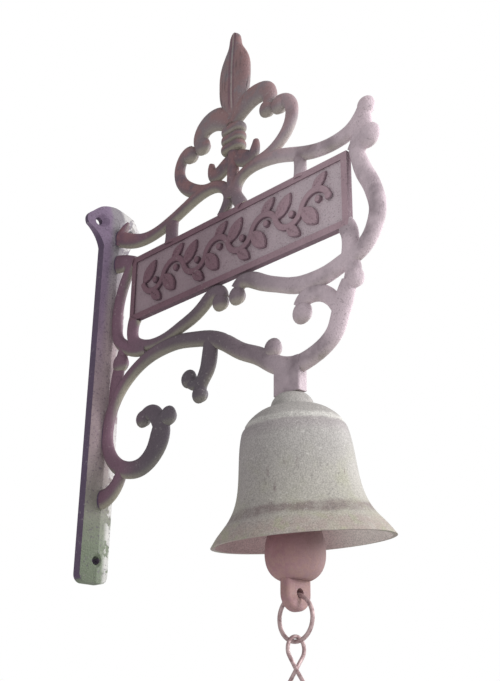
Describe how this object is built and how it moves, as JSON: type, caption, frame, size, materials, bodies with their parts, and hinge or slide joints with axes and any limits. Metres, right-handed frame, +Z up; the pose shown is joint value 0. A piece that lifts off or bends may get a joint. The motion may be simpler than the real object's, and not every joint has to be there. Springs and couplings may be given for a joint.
{
  "type": "wall bell",
  "caption": "Cast-iron bell hung from a scrollwork wall bracket with a sign panel, rung by a chain on its clapper; screws to a wall or post through its back plate.",
  "frame": {"origin": "middle of the back plate's wall face, half way up the plate and on its centre line", "axes": "+X out from the wall, along the bracket; +Y sideways along the wall, to the right of a viewer who stands on the side of the bracket seen in the picture; +Z up"},
  "size_m": [0.2671, 0.1045, 0.5516],
  "materials": {
    "bracket_iron": "painted cast iron, worn and speckled",
    "bell_iron": "pale worn cast iron, speckled",
    "clapper_iron": "brown-red cast iron, matt",
    "wire_steel": "dull drawn wire",
    "bolt_steel": "dull steel"
  },
  "bodies": {
    "bracket": {"bracket": "bracket_iron", "bell": "bell_iron", "eye_bolt": "bolt_steel", "bell_washer": "bolt_steel", "bell_nut": "bolt_steel"},
    "shackle": {"clapper_shackle": "wire_steel"},
    "clapper": {"clapper": "clapper_iron"},
    "ring": {"clapper_ring": "wire_steel"},
    "link_1": {"chain_link_1": "wire_steel"},
    "link_2": {"chain_link_2": "wire_steel"},
    "link_3": {"chain_link_3": "wire_steel"},
    "pull_ring": {"pull_ring": "wire_steel"}
  },
  "joints": [
    {"name": "shackle_swing", "type": "hinge", "parent": "bracket", "child": "shackle", "pos_m": [0.1915, 0.00243, -0.07396], "axis": [0, 1, 0], "range_deg": [-14, 14]},
    {"name": "clapper_swing", "type": "hinge", "parent": "shackle", "child": "clapper", "pos_m": [0.1915, 0.00243, -0.09116], "axis": [1, 0, 0], "range_deg": [-8, 8]},
    {"name": "ring_swing", "type": "hinge", "parent": "clapper", "child": "ring", "pos_m": [0.1915, 0.00243, -0.17036], "axis": [1, 0, 0], "range_deg": [-25, 25]},
    {"name": "link_1_swing", "type": "hinge", "parent": "ring", "child": "link_1", "pos_m": [0.1915, 0.00243, -0.19216], "axis": [0, 1, 0], "range_deg": [-25, 25]},
    {"name": "link_2_swing", "type": "hinge", "parent": "link_1", "child": "link_2", "pos_m": [0.1915, 0.00243, -0.22576], "axis": [1, 0, 0], "range_deg": [-25, 25]},
    {"name": "link_3_swing", "type": "hinge", "parent": "link_2", "child": "link_3", "pos_m": [0.1915, 0.00243, -0.25436], "axis": [0, 1, 0], "range_deg": [-25, 25]},
    {"name": "pull_swing", "type": "hinge", "parent": "link_3", "child": "pull_ring", "pos_m": [0.1915, 0.00243, -0.28796], "axis": [1, 0, 0], "range_deg": [-25, 25]}
  ]
}
